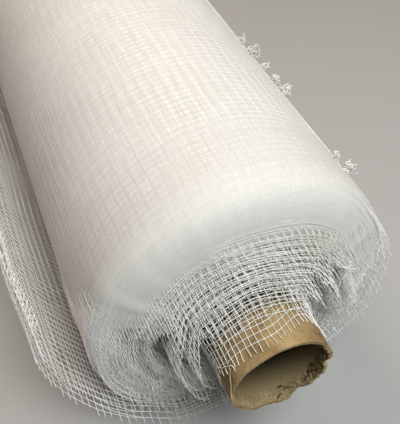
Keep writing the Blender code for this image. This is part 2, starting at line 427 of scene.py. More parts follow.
# Folds of the slipped end, where bunches of turns sag or stand out: start x and z, end x and z,
# half width and depth in mm, from the tube's axis. A stand-out has a depth below 0
END_FOLDS = (
    (-79, 6, -64, -74, 9, 15), (-68, 40, -58, -36, 6, -6), (-55, 10, -34, -84, 7, -5),
    (-48, -10, -20, -92, 9, 16), (-98, 14, -92, -40, 8, 7), (51, 4, 76, -50, 8, 14),
    (52, 40, 66, 4, 6, -5), (62, 50, 94, -20, 6, -6), (72, 46, 84, 24, 6, 3), (-30, -98, 54, -92, 18, 9),
)

# Narrow slots between clumps of the slipped turns, in the same columns as the folds
END_SLOTS = (
    (-56, 24, -60, -20, 2.5, 9), (-46, 8, -28, -39, 3, 9), (41, 22, 50, -6, 2.5, 9),
    (45, 45, 72, -19, 1.8, 6), (60, 50, 88, 16, 1.8, 5),
)

# How deep the solid-looking turns lie under the outline, by distance along it, both in mm
BED_DEPTH_MM = (
    (0, 15.0), (46, 16.0), (58, 15.0), (68, 12.0), (78, 8.0), (86, 4.6), (94, 2.4), (102, 1.1),
    (112, 0.55), (124, 0.38), (1400, 0.32),
)
BED_RINGS_MM = (*range(46, 150, 2), 154, 160, 168, 180, 200, 240, 340, 480, 640, 800, 960, 1120, 1280, 1340)
BED_STEPS = 240

# Its bore's gap round the tube, and how much further in than its near edge the bore starts
BORE_GAP = 0.0003
BORE_START = 0.018

# Low and left on the near shoulder the tight turns stop further in, and open ones hang round
# them: angle round the roll in degrees, how open it is there, and how far the tight ones stop
OPEN_SHARE = (
    (0, 0.8), (25, 0.45), (50, 0.0), (116, 0.0), (150, 0.35), (180, 0.85), (205, 1.0), (335, 1.0),
    (360, 0.8),
)
SHRUNK_SHARE = (
    (0, 0.1), (15, 0.0), (150, 0.0), (185, 0.6), (215, 1.0), (300, 1.0), (335, 0.75), (360, 0.1),
)
SHRUNK_DEPTH = 0.013
SHRUNK_FROM = 0.062
SHRUNK_TO = 0.180

# Pleats of the slipped end: count round the roll, depth in mm and phase
PLEATS = ((9, 0.55, 0.9), (17, 0.50, 2.2), (29, 0.45, 4.1), (47, 0.28, 1.3))

# The far end is dished: radius and distance in from the tube's far end, in mm
FAR_OUTLINE_MM = (
    (127.1, 46.0), (126.0, 41.0), (123.0, 39.0), (113.0, 47.0), (101.0, 56.0), (89.0, 64.0),
    (77.0, 70.0), (65.0, 75.5), (53.0, 82.0), (46.0, 92.0), (42.3, 93.0),
)

NET_WHITE = "#E6E5E2"
# Painted shade in the faint lines where cells line up
NET_LINE_SHADE = "#B0AEA8"
# Painted shade on the shoulder
NET_SHADED = "#D8D7D3"
NET_MOTTLE = "#C9C7C2"
# Painted shade deeper in between the slipped turns, with the threads of deeper turns lighter in it
NET_DEEP_SHADE = "#3C3932"
NET_DEEP_SHADE_THREAD = "#85827A"

# Layers of the net that show through each other in patches of 90 mm: skew in degrees, strength,
# patch place in metres, and where it repeats, as a share of the net's own pitch
SEEN_LAYERS = (
    (0.4, 0.42, 0.0, 1.0),
    (2.2, 0.40, 3.0, 1.0),
    (-3.1, 0.36, 7.0, 1.0),
    (0.9, 0.07, 11.0, 0.5),
)
PATCHES_PER_M = 11.0

# Streaks that the threads of many layers run into, along the roll and round it: skew in degrees,
# how many in a metre round the roll and along it, place in metres and strength
STREAKS = ((3.0, 560.0, 36.0, 0.3, 0.35), (-4.0, 24.0, 300.0, 0.7, 0.4))
GRAINS_PER_M = 520.0

# Distance along the outline at which the shoulder's painted shade, and the body's lines, begin and are full
SHADED_ALONG = (0.190, 0.100)
LINED_ALONG = (0.118, 0.150)

# Depths in metres at which the shade between open turns begins and is full
SHADE_FROM = 0.001
SHADE_TO = 0.017
SHADE_OVER = 0.118
SHADE_FADE = 0.030


def outline_curve():
    """Distance along the outline, radius, inset and its outward normal, softened at the corners."""
    rough = np.array(OUTLINE_MM) * MM
    run = np.concatenate(([0.0], np.cumsum(np.hypot(*np.diff(rough, axis=0).T))))
    along = np.arange(0.0, run[-1], OUTLINE_STEP)
    kernel = np.ones(OUTLINE_SOFTENED_STEPS) / OUTLINE_SOFTENED_STEPS
    margin = OUTLINE_SOFTENED_STEPS // 2
    radius, inset = (
        np.convolve(np.pad(np.interp(along, run, column), margin, "edge"), kernel, "valid")
        for column in rough.T
    )
    run_radius = np.gradient(radius)
    run_inset = np.gradient(inset)
    length = np.hypot(run_radius, run_inset)
    return along, radius, inset, run_inset / length, -run_radius / length


OUTLINE = outline_curve()


def fold_depth(x, z):
    """How far in the folds and slots push the slipped end at x and z from the axis."""
    depth = np.zeros_like(x)
    for start_x, start_z, end_x, end_z, half_width, depth_mm in END_FOLDS + END_SLOTS:
        run = np.array((end_x - start_x, end_z - start_z)) * MM
        from_x = x - start_x * MM
        from_z = z - start_z * MM
        along = np.clip((from_x * run[0] + from_z * run[1]) / (run @ run), 0.0, 1.0)
        away = np.hypot(from_x - run[0] * along, from_z - run[1] * along) / (half_width * MM)
        depth += depth_mm * MM * smooth(1 - away / 2)
    return depth


def open_share(angle):
    """How far the near shoulder is open at an angle: 0 above, 1 low and left."""
    return share_at(OPEN_SHARE, angle)


def pleats(angle, radius):
    """Shallow radial pleats of the slipped turns, deeper where they sag."""
    depth = np.zeros_like(angle)
    for count, depth_mm, phase in PLEATS:
        depth += depth_mm * MM * np.sin(count * angle + phase + 30 * (radius - 0.08))
    return depth * (0.25 + 0.75 * open_share(angle))


def settled(x, inset, z):
    """Apply the sagging folds and the tighter lower shoulder to places near the slipped end."""
    radius = np.hypot(x, z)
    share = smooth((radius - 0.047) / 0.006) * smooth((ROLL_RADIUS - radius) / 0.004)
    depth = fold_depth(x, z) + pleats(np.arctan2(z, x), radius)
    inset = inset + np.where(inset < 0.3, depth * share, 0.0)
    low = 1 - smooth(z / ROLL_RADIUS)
    falling = (SHOULDER_TO - inset) * (SHOULDER_PEAK - SHOULDER_FROM) / (SHOULDER_TO - SHOULDER_PEAK)
    drawn = np.clip(np.minimum(inset - SHOULDER_FROM, falling), 0.0, None)
    return inset - SHOULDER_SHARE * low * drawn * smooth((radius - 0.108) / 0.01)


def flattened(radius, angle):
    """x and z from the axis at a radius and angle, where its own weight has flattened the roll."""
    return radius * np.cos(angle), np.maximum(radius * np.sin(angle), -FLAT_SHARE * radius)


def on_roll(angle, along, lift):
    """Place at an angle round the roll, a distance along its outline and a lift off it."""
    distances, radii, insets, out_radii, out_insets = OUTLINE
    radius = np.interp(along, distances, radii) + lift * np.interp(along, distances, out_radii)
    inset = np.interp(along, distances, insets) + lift * np.interp(along, distances, out_insets)
    x, z = flattened(radius, angle)
    return x, NEAR_Y + settled(x, inset, z), AXIS_Z + z


def shrunk(angle, along):
    """How much further in the tight turns lie at the lower shoulder."""
    window = smooth((along - SHRUNK_FROM) / 0.022) * smooth((SHRUNK_TO - along) / 0.055)
    return SHRUNK_DEPTH * window * share_at(SHRUNK_SHARE, angle)


def bed_depth(angle, along):
    """Depth of the solid-looking turns under the outline."""
    places, depths = zip(*BED_DEPTH_MM)
    return np.interp(along, np.array(places) * MM, np.array(depths) * MM) + shrunk(angle, along)


def wound_scrim():
    """Many layers of white scrim netting, with painted shade in faint grey lines where cells line up in
    patches.
    """
    material, shader = bare_material("wound_scrim_polypropylene")
    place = add(material, "TexCoord", output="Object")
    around, along, sunk = (
        add(material, "Attribute", output="Fac", attribute_name=name)
        for name in ("around_roll", "along_outline", "depth_share")
    )
    surface = add(material, "CombineXYZ", {"X": around, "Y": along})
    lines = 0.0
    threads = 0.0
    for skew, strength, patch_place, share in SEEN_LAYERS:
        skewed = {"Rotation": (0, 0, math.radians(skew)), "Location": (skew * MM, skew * MM, 0)}
        laid = add(material, "Mapping", {"Vector": surface, **skewed})
        patch_at = add(material, "VectorMath", {0: place, 1: (patch_place, 0, 0)}, operation="ADD")
        patchy = add(material, "TexNoise", {"Vector": patch_at, "Scale": PATCHES_PER_M, "Detail": 2.0})
        patching = {"Value": patchy, "From Min": 0.40, "From Max": 0.60, "To Max": strength}
        patch = add(material, "MapRange", patching)
        for direction, pitch in (("X", LENGTHWISE_PITCH * share), ("Y", ROUND_PITCH * share)):
            # A wave texture's bands repeat every pi / 10 / scale
            bands = {"Scale": math.pi / 10 / pitch, "Distortion": 1.3, "Detail": 2.0, "Detail Scale": 1.2}
            wave = add(material, "TexWave", {"Vector": laid, **bands}, "Fac", bands_direction=direction)
            narrow = add(material, "MapRange", {"Value": wave, "From Min": 0.90, "From Max": 0.99})
            faint = add(material, "Math", {0: narrow, 1: patch}, operation="MULTIPLY")
            lines = add(material, "Math", {0: lines, 1: faint}, operation="MAXIMUM")
            threads = add(material, "Math", {0: threads, 1: narrow}, operation="MAXIMUM")
    grains = {"Vector": place, "Scale": GRAINS_PER_M, "Detail": 3.0, "Roughness": 0.7}
    grain = add(material, "TexNoise", grains)
    streaked = []
    for skew, round_count, along_count, offset, strength in STREAKS:
        drawn_out = {
            "Rotation": (0, 0, math.radians(skew)),
            "Location": (offset, offset, 0),
            "Scale": (1 / round_count, 1 / along_count, 1.0),
        }
        stretched = add(material, "Mapping", {"Vector": surface, **drawn_out}, vector_type="TEXTURE")
        uneven = {"Scale": 1.0, "Detail": 3.0, "Roughness": 0.65, "Distortion": 0.8}
        noise = add(material, "TexNoise", {"Vector": stretched, **uneven})
        streaking = {"Value": noise, "From Min": 0.42, "From Max": 0.62, "To Max": strength}
        streaked.append(add(material, "MapRange", streaking))
    shoulder_shade, body, mottle = (
        add(material, "MapRange", {"Value": value, "From Min": start, "From Max": full, "To Max": most})
        for value, start, full, most in (
            (along, *SHADED_ALONG, 1.0),
            (along, *LINED_ALONG, 1.0),
            (grain, 0.36, 0.64, 0.45),
        )
    )
    lines = add(material, "Math", {0: lines, 1: body}, operation="MULTIPLY")
    colour = NET_WHITE
    toned = [(shoulder_shade, NET_SHADED), (mottle, NET_MOTTLE), (lines, NET_LINE_SHADE)]
    for share, shade in toned + [(streak, NET_MOTTLE) for streak in streaked]:
        colour = add(material, "Mix", {"Factor": share, "A": colour, "B": shade}, "Result", **RGBA)
    # Between the slipped turns painted shade darkens it further in, with the threads of deeper turns
    # showing
    deep = add(material, "Mix", {"Factor": threads, "A": NET_DEEP_SHADE, "B": NET_DEEP_SHADE_THREAD}, "Result", **RGBA)
    colour = add(material, "Mix", {"Factor": sunk, "A": colour, "B": deep}, "Result", **RGBA)
    height = add(material, "Math", {0: lines, 1: -1.0, 2: grain}, operation="MULTIPLY_ADD")
    bump = add(material, "Bump", {"Height": height, "Strength": 0.25, "Distance": 0.0004})
    soft = {"Roughness": 0.62, "Specular IOR Level": 0.3}
    put(material, shader, {"Base Color": colour, "Normal": bump, **soft})
    return material


def wound_body():
    """The solid-looking wound turns, coned and folded at the near end and dished at the far one."""
    distances, radii, insets, _, _ = OUTLINE
    along = np.array(BED_RINGS_MM) * MM
    radius = np.interp(along, distances, radii)
    inset = np.interp(along, distances, insets)
    section = [(TUBE_RADIUS + BORE_GAP, NEAR_Y + inset[0] + BORE_START)]
    section += [(r, NEAR_Y + i) for r, i in zip(radius, inset)]
    section += [(r * MM, FAR_Y - i * MM) for r, i in FAR_OUTLINE_MM]
    piece = finished("wound_body", turned(section, BED_STEPS), wound_scrim(), 80)
    x, y, z = coordinates(piece.data).T
    z = z - AXIS_Z
    reach = np.hypot(x, z)
    angle = np.arctan2(z, x)
    miss = np.hypot(reach[:, None] - radius, y[:, None] - NEAR_Y - inset)
    along = along[miss.argmin(1)]
    outer = miss.min(1) < 0.0001
    lifted = on_roll(angle, along, -bed_depth(angle, along))
    plain = (x, y, AXIS_Z + np.maximum(z, -FLAT_SHARE * reach))
    moved_to(piece.data, *(np.where(outer, new, old) for new, old in zip(lifted, plain)))
    depth = bed_depth(angle, along) + np.clip(fold_depth(x, z), 0.0, None)
    shade = smooth((depth - SHADE_FROM) / (SHADE_TO - SHADE_FROM))
    shade *= smooth((SHADE_OVER - along) / SHADE_FADE)
    noted(piece, "along_outline", along)
    noted(piece, "around_roll", (angle + math.pi) * ROLL_RADIUS)
    noted(piece, "depth_share", shade * (y < 0))
    return piece


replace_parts(wound_body(), "net_roll")

# Outermost wound turn
# The last tight turn of the net, of white polypropylene twine: threads 9.6 mm apart run along
# the roll and threads 6.2 mm apart run round it, fused where they cross.

TWINE_RADIUS = 0.00034
WOUND_TWINE_RADIUS = 0.00020
STRAND_SPACING = 0.01
CROSSING_LIFT = 0.00012
LAY_PER_M = 500.0
TONES_PER_M = 30.0

# Distance along the outline of the turn's near edge, its lift off the outline there and beyond,
# its skew in degrees along the whole roll, and how much of the net's width it lacks
WOUND_EDGE = 0.118
WOUND_LIFT_EDGE = -0.0014
WOUND_LIFT = -0.00044
WOUND_SKEW = -1.6
WOUND_LACKS = 0.02
WOUND_CROSSING = 0.00001
LENGTHWISE_STEPS = 30


def net_twine(name, darker, lighter):
    """Extruded twine: a soft shine, its tone a little uneven along its length."""
    material, shader = bare_material(name)
    place = add(material, "TexCoord", output="Object")
    # The filaments' lay is finer than shows, so it is drawn at 2 mm
    lay = add(material, "TexNoise", {"Vector": place, "Scale": LAY_PER_M, "Detail": 2.0})
    tone = add(material, "TexNoise", {"Vector": place, "Scale": TONES_PER_M, "Detail": 3.0})
    uneven = add(material, "Math", {0: lay, 1: 0.5, 2: tone}, operation="MULTIPLY_ADD")
    share = add(material, "MapRange", {"Value": uneven, "From Min": 0.55, "From Max": 0.95})
    colour = add(material, "Mix", {"Factor": share, "A": darker, "B": lighter}, "Result", **RGBA)
    bump = add(material, "Bump", {"Height": lay, "Strength": 0.3, "Distance": 0.0001})
    shine = {"Roughness": 0.42, "Sheen Weight": 0.35, "IOR": 1.49}
    put(material, shader, {"Base Color": colour, "Normal": bump, **shine})
    return material


# White polypropylene twine, and the same twine greyed as painted shade, which the tight turns have
TWINE = net_twine("net_twine_polypropylene", "#F3F1EA", "#FFFFFF")
SHADED_TWINE = net_twine("net_twine_dusty_polypropylene", "#DAD8D2", "#E9E8E3")


def strands(count, steps, radius):
    """Straight three-sided strands side by side along X, each one metre long in Y."""
    shape = bmesh.new()
    upright = Matrix.Rotation(math.pi / 2, 4, "X")
    for index in range(count):
        place = Matrix.Translation((index * STRAND_SPACING, 0, 0)) @ upright
        bmesh.ops.create_circle(shape, cap_ends=True, segments=3, radius=radius, matrix=place)
    bmesh.ops.spin(
        shape,
        geom=shape.verts[:] + shape.edges[:] + shape.faces[:],
        cent=(0, 0, 0),
        axis=(0, 0, 1),
        dvec=(0, 1 / steps, 0),
        angle=0,
        steps=steps,
    )
    return shape


def netting(name, bundles, radius=TWINE_RADIUS, twine=TWINE):
    """A piece of net from bundles of strands: how many, in how many steps, and a path for them.

    The path gives places for each strand's number, share along it, and offsets aside and up.
    """
    whole = bmesh.new()
    for count, steps, path in bundles:
        shape = strands(count, steps, radius)
        mesh = bpy.data.meshes.new(name)
        shape.to_mesh(mesh)
        shape.free()
        x, y, z = coordinates(mesh).T
        number = np.rint(x / STRAND_SPACING).astype(int)
        moved_to(mesh, *path(number, np.clip(y, 0.0, 1.0), x - number * STRAND_SPACING, z))
        whole.from_mesh(mesh)
        bpy.data.meshes.remove(mesh)
    bmesh.ops.recalc_face_normals(whole, faces=whole.faces[:])
    return finished(name, whole, twine, 180)


def wound_turn():
    """The last tight turn of the net all round the roll, with the cut ends of its threads."""
    seed = 42
    draw = np.random.RandomState(seed)
    rows = int((NET_WIDTH - WOUND_LACKS) / ROUND_PITCH)
    fringe = draw.uniform(0.001, 0.003, AROUND_COUNT)
    far_fringe = draw.uniform(0.002, 0.006, AROUND_COUNT)
    lean = draw.normal(0, 0.0006, AROUND_COUNT)
    gap = draw.normal(0, 0.00035, rows)

    def lift_at(along):
        return WOUND_LIFT_EDGE + (WOUND_LIFT - WOUND_LIFT_EDGE) * smooth((along - WOUND_EDGE) / 0.09)

    def lengthwise(number, share, aside, up):
        # More of the steps lie over the shoulder, where the thread bends
        start = WOUND_EDGE - fringe[number]
        end = WOUND_EDGE + rows * ROUND_PITCH + far_fringe[number]
        along = start + (end - start) * share**2.2
        skewed = math.radians(WOUND_SKEW) * (along - WOUND_EDGE) / NET_WIDTH
        sway = lean[number] + 0.0011 * wander(seed, along + number * 0.31, 0.23)
        aslant = (sway + aside) / np.interp(along, OUTLINE[0], OUTLINE[1])
        angle = 2 * math.pi * number / AROUND_COUNT + skewed + aslant
        return on_roll(angle, along, lift_at(along) - WOUND_CROSSING + up)

    def roundgoing(number, share, aside, up):
        angle = 2 * math.pi * share - math.pi / 2
        sway = gap[number] + 0.0009 * wander(seed + 7, angle * ROLL_RADIUS + number * 0.013, 0.27)
        sway = sway + 0.0025 * wander(seed + 9, angle, 2.1)
        along = WOUND_EDGE + number * ROUND_PITCH + sway + aside
        return on_roll(angle, along, lift_at(along) + WOUND_CROSSING + up)

    bundles = ((AROUND_COUNT, LENGTHWISE_STEPS, lengthwise), (rows, AROUND_COUNT, roundgoing))
    # Its twine is greyed as painted shade
    return netting("wound_turn_outer", bundles, WOUND_TWINE_RADIUS, SHADED_TWINE)


wound_turn()

# Slipped turns
# At the near end the turns have slipped along the tube like a telescope. The cut edge of each
# stands out past the next one's, with its threads still pointing along the roll.

FINE_TWINE_RADIUS = 0.00025
CUFF_TWINE_RADIUS = 0.00035

# Turns from the tube out: radius of the first and last in mm, and how many. Those up to
# INNER_TURNS_MM make one piece with the sleeve
TURN_GROUPS = ((45.2, 61.0, 7), (63.4, 79.0, 7), (80.8, 112.0, 19), (113.4, 128.3, 12))
INNER_TURNS_MM = 80.0

# Neighbouring turns end level in clumps: inner radius of each clump in mm
CLUMPS_MM = (
    44.0, 46.4, 48.7, 51.0, 55.0, 58.0, 62.0, 67.0, 70.0, 75.5, 80.0, 86.0, 91.0, 97.0, 102.0,
    108.0, 114.0, 118.0, 122.0, 126.0, 129.0,
)

# How clumps of turns slipped out (below 0) or stayed back on the left and on the right of the
# tube: radius, and distance on either side, all in mm
CLUMP_SLIPS_MM = (
    (44.0, 20, 4), (51.5, 20, 3), (54.5, -24, -11), (57.5, -25, -10), (60.0, 15, 5), (65.0, 15, 4),
    (67.0, -19, -9), (71.5, -18, -9), (74.0, 13, 4), (79.0, 11, 2), (82.0, -9, -7), (88.0, -8, -6),
    (92.0, 3, 0), (98.0, -5, -3), (103.0, -4, -3), (108.0, 0, 0), (130.0, 0, 0),
)
LEFT_SLIP = ((0, 0), (150, 0), (186, 1), (225, 1), (260, 0), (360, 0))
RIGHT_SLIP = ((0, 1), (20, 1), (46, 0), (312, 0), (352, 1), (360, 1))

# The innermost turn is left lying on the tube as a sleeve, its edge aslant: angle in degrees,
# distance in from the rim in mm
SLEEVE_EDGE = ((-180, 24), (-60, 27), (0, 20), (30, 20), (53, 25), (101, 13), (147, 16), (180, 24))
SLEEVE_END = 0.052
SLEEVE_COUNT = 54
SLEEVE_ROWS = 5
SLEEVE_LIFT = 0.0005

# It rises to the turns over it: by how much, from where and over what length
SLEEVE_RISE = 0.0015
SLEEVE_RISE_FROM = 0.028
SLEEVE_RISE_OVER = 0.02

# Ripples of the hems: size in metres, waves round the roll, phase and what a metre of radius
# adds to it. Each clump has smaller ones of its own: size and waves
HEM_RIPPLES = ((0.0016, 2, 0.0, 30), (0.0009, 5, 1.3, -40))
CLUMP_RIPPLES = ((0.0005, 3), (0.0004, 7), (0.0003, 13))

# From this radius out the turns lie close, so the threads along them are what shows. Their
# hems are pressed in by this much, and above they are buried among the tight turns
CLOSE_TURNS_FROM = 0.090
HEM_SUNK = 0.0007
BURIED_DEPTH = 0.0046

# Where the shoulder is open, threads are thinner by a share and cut ends longer by a share
TONGUE_SLIMMER = 0.38
OPEN_FRINGE = 0.8

# More threads than one turn has stand for the hidden turns between, and a turn runs this far in
# among the tight ones. Its hem lies at this share of the way through its clump
THREADS_SHARE = 1.5
TURN_TUCKED = 0.003
CLUMP_LEVEL = 0.3
TURN_STEP = 0.007


def eased(table, place):
    """Columns of a table after its first, read between its rows at these places."""
    columns = np.array(table, float).T
    row = np.clip(np.searchsorted(columns[0], place) - 1, 0, len(table) - 2)
    low = columns[0][row]
    share = smooth((place - low) / (columns[0][row + 1] - low))
    return [column[row] + (column[row + 1] - column[row]) * share for column in columns[1:]]


def sleeve():
    """Bundles of the turn that lies on the tube."""
    draw = np.random.RandomState(90)
    fringe = draw.uniform(0.006, 0.0095, SLEEVE_COUNT)
    lean = draw.normal(0, 0.0003, SLEEVE_COUNT)

    def edge_at(angle):
        return eased(SLEEVE_EDGE, (np.degrees(angle) + 180) % 360 - 180)[0] * MM

    def laid(angle, inset, aside, up):
        rise = SLEEVE_RISE * smooth((inset - SLEEVE_RISE_FROM) / SLEEVE_RISE_OVER)
        radius = TUBE_RADIUS + SLEEVE_LIFT + rise + up
        return about_axis(radius, angle + aside / radius, NEAR_Y + inset)

    def lengthwise(number, share, aside, up):
        angle = 2 * math.pi * number / SLEEVE_COUNT + 0.11
        edge = edge_at(angle)
        inset = edge - fringe[number] + (SLEEVE_END + fringe[number] - edge) * share
        free = smooth((edge - inset) / 0.008)
        sway = lean[number] * (0.5 + 2.5 * free) + 0.0003 * wander(91, inset + number * 0.17, 0.05)
        return laid(angle, inset, sway + aside, up + 0.0006 * free)

    def roundgoing(number, share, aside, up):
        angle = 2 * math.pi * share - math.pi / 2
        inset = edge_at(angle) + number * ROUND_PITCH + 0.0003 * wander(92, angle + number * 0.9, 1.9)
        return laid(angle, inset + aside, 0.0, up + CROSSING_LIFT)

    return [(SLEEVE_COUNT, 12, lengthwise), (SLEEVE_ROWS, 72, roundgoing)]


def bed_reach(ring):
    """How far in the tight turns meet a turn of this radius, where the shoulder is open."""
    distances, radii, insets, out_radii, out_insets = OUTLINE
    depth = bed_depth(-math.pi / 2, distances)
    met = (radii - depth * out_radii > ring) & (distances > 0.044)
    return float((insets - depth * out_insets)[met.argmax()])


def slipped_turn(radius_mm, seed):
    """Bundles of one slipped turn: its cut edge, and as much of it as shows behind that."""
    draw = np.random.RandomState(seed)
    ring = radius_mm * MM
    clump = np.searchsorted(CLUMPS_MM, radius_mm) - 1
    level = ((1 - CLUMP_LEVEL) * CLUMPS_MM[clump] + CLUMP_LEVEL * CLUMPS_MM[clump + 1]) * MM
    outline_edge = float(np.interp(level, OUTLINE[1], OUTLINE[2]))
    place = float(np.interp(ring, OUTLINE[1], OUTLINE[0]))
    run = bed_reach(ring) - outline_edge + TURN_TUCKED
    count = int(THREADS_SHARE * 2 * math.pi * CLUMPS_MM[clump] * MM / LENGTHWISE_PITCH)
    outer = ring > CLOSE_TURNS_FROM
    rows = 1 if outer else int(run / ROUND_PITCH) + 1
    slimmer = 0.0 if outer else TONGUE_SLIMMER
    fringe = draw.uniform(0.0004, 0.0030, count)
    lean = draw.normal(0, 0.00018, count)
    jitter = draw.normal(0, 0.0003, count)
    phase = 2 * math.pi / count * (clump * 0.37 + seed % 4 / 4 + draw.normal(0, 0.04))
    own = draw.normal(0, 0.0004)
    radii, *slips = zip(*CLUMP_SLIPS_MM)
    left_slip, right_slip = (np.interp(radius_mm, radii, slips_mm) for slips_mm in slips)
    shared = np.random.RandomState(200 + clump).uniform(0, 6.28, 3)

    def edge_at(angle):
        edge = outline_edge + own + 0.0003 * wander(seed, angle, 1.1)
        for size, waves, start, drift in HEM_RIPPLES:
            edge = edge + size * np.sin(waves * angle + start + drift * ring)
        for (size, waves), start in zip(CLUMP_RIPPLES, shared):
            edge = edge + size * np.sin(waves * angle + start)
        return edge

    def laid(angle, inset, behind, aside, up):
        free = smooth(1 - behind / 0.008)
        closed = 1 - smooth(open_share(angle) / 0.5)
        # Further out the threads come out from among the tight turns bit by bit
        faded = 0.85 * (1 - smooth((open_share(angle) - 0.3) / 0.6)) * smooth((ring - 0.094) / 0.008)
        slim = 1 - slimmer * open_share(angle) - faded
        radius = ring + 0.0004 * wander(seed + 1, angle, 1.7) + up * slim - 0.0007 * free
        x, z = flattened(radius, angle + aside * slim / ring)
        z = z - 0.0006 * free
        out = left_slip * share_at(LEFT_SLIP, angle) + right_slip * share_at(RIGHT_SLIP, angle)
        buried = BURIED_DEPTH * smooth((place - 0.092) / 0.010) * closed
        inset = inset + buried + 0.3 * shrunk(angle, place) + out * MM * smooth(1 - 0.6 * behind / run)
        return x, NEAR_Y + settled(x, inset, z), AXIS_Z + z

    def lengthwise(number, share, aside, up):
        angle = 2 * math.pi * number / count + phase + jitter[number] / ring
        shown = open_share(angle)
        loose_end = fringe[number] * (1 + outer * (OPEN_FRINGE * shown - 0.8 * (1 - smooth(shown / 0.5))))
        behind = -loose_end + (run + loose_end) * share
        bend = lean[number] * (0.4 + 1.6 * smooth(1 - (behind + 0.006) / 0.010))
        return laid(angle, edge_at(angle) + behind, behind, bend + aside, up - CROSSING_LIFT)

    def roundgoing(number, share, aside, up):
        angle = 2 * math.pi * share - math.pi / 2
        behind = number * ROUND_PITCH + aside * (1 - TONGUE_SLIMMER * open_share(angle))
        # Where the turns lie close, their hems are pressed in among the threads
        sunk = HEM_SUNK * smooth((place - 0.076) / 0.012)
        return laid(angle, edge_at(angle) + behind, behind, 0.0, up + CROSSING_LIFT - sunk)

    steps = max(4, int(run / TURN_STEP))
    return [(count, steps, lengthwise), (rows, max(48, int(count * 0.8)), roundgoing)]


inner_turns = sleeve()
outer_turns = []
for turn_number, turn_radius in enumerate(np.concatenate([np.linspace(*group) for group in TURN_GROUPS])):
    turns = inner_turns if turn_radius < INNER_TURNS_MM else outer_turns
    turns += slipped_turn(turn_radius, 100 + turn_number)
netting("slipped_turns_inner", inner_turns, CUFF_TWINE_RADIUS)
netting("slipped_turns_outer", outer_turns, FINE_TWINE_RADIUS)

# Loosened turns
# Round the shoulder the outermost turns have lost their grip. Above they still lie on the
# roll, and low down and on the right they hang round it with gaps between them.

# Turn: edge's distance along the outline above in mm, edge's distance in below in mm, radius
# below in mm, and share of the slack on the right
LOOSENED_TURNS = (
    (118, 66, 121.5, 0.00), (121, 62, 123.5, 0.15), (124, 67, 125.0, 0.35),
    (126, 60, 126.2, 0.55), (127, 70, 127.0, 0.75), (129, 64, 127.8, 0.95),
)

# Where their rows start along the outline above and along the roll below, and how far their
# threads run on behind the rows, as a multiple of the rows' width
LOOSENED_START = 0.150
LOOSENED_BELOW = 0.118
LOOSENED_RUN = 2.6
LOOSENED_THREADS = 118
LOOSENED_ROWS = 8
LOOSENED_TWINE_RADIUS = 0.00030
RIGHT_SLACK = 0.0085
LEFT_SLACK = 0.0045

# How far a loosened turn hangs free, how far it stands off the left flank behind its rows, and
# how far the inner ones stay on the roll longer on the right, all by angle in degrees
HANGING_SHARE = (
    (0, 0.95), (20, 0.7), (42, 0.0), (176, 0.0), (192, 0.35), (215, 0.7), (240, 0.85), (275, 0.95),
    (330, 1.0), (360, 0.95),
)
FLANK_SHARE = ((0, 0.0), (150, 0.0), (172, 0.45), (200, 1.0), (225, 1.0), (270, 0.0), (360, 0.0))
KEPT_SHARE = ((0, 0.5), (24, 1.0), (180, 0.0), (310, 0.0), (360, 0.5))


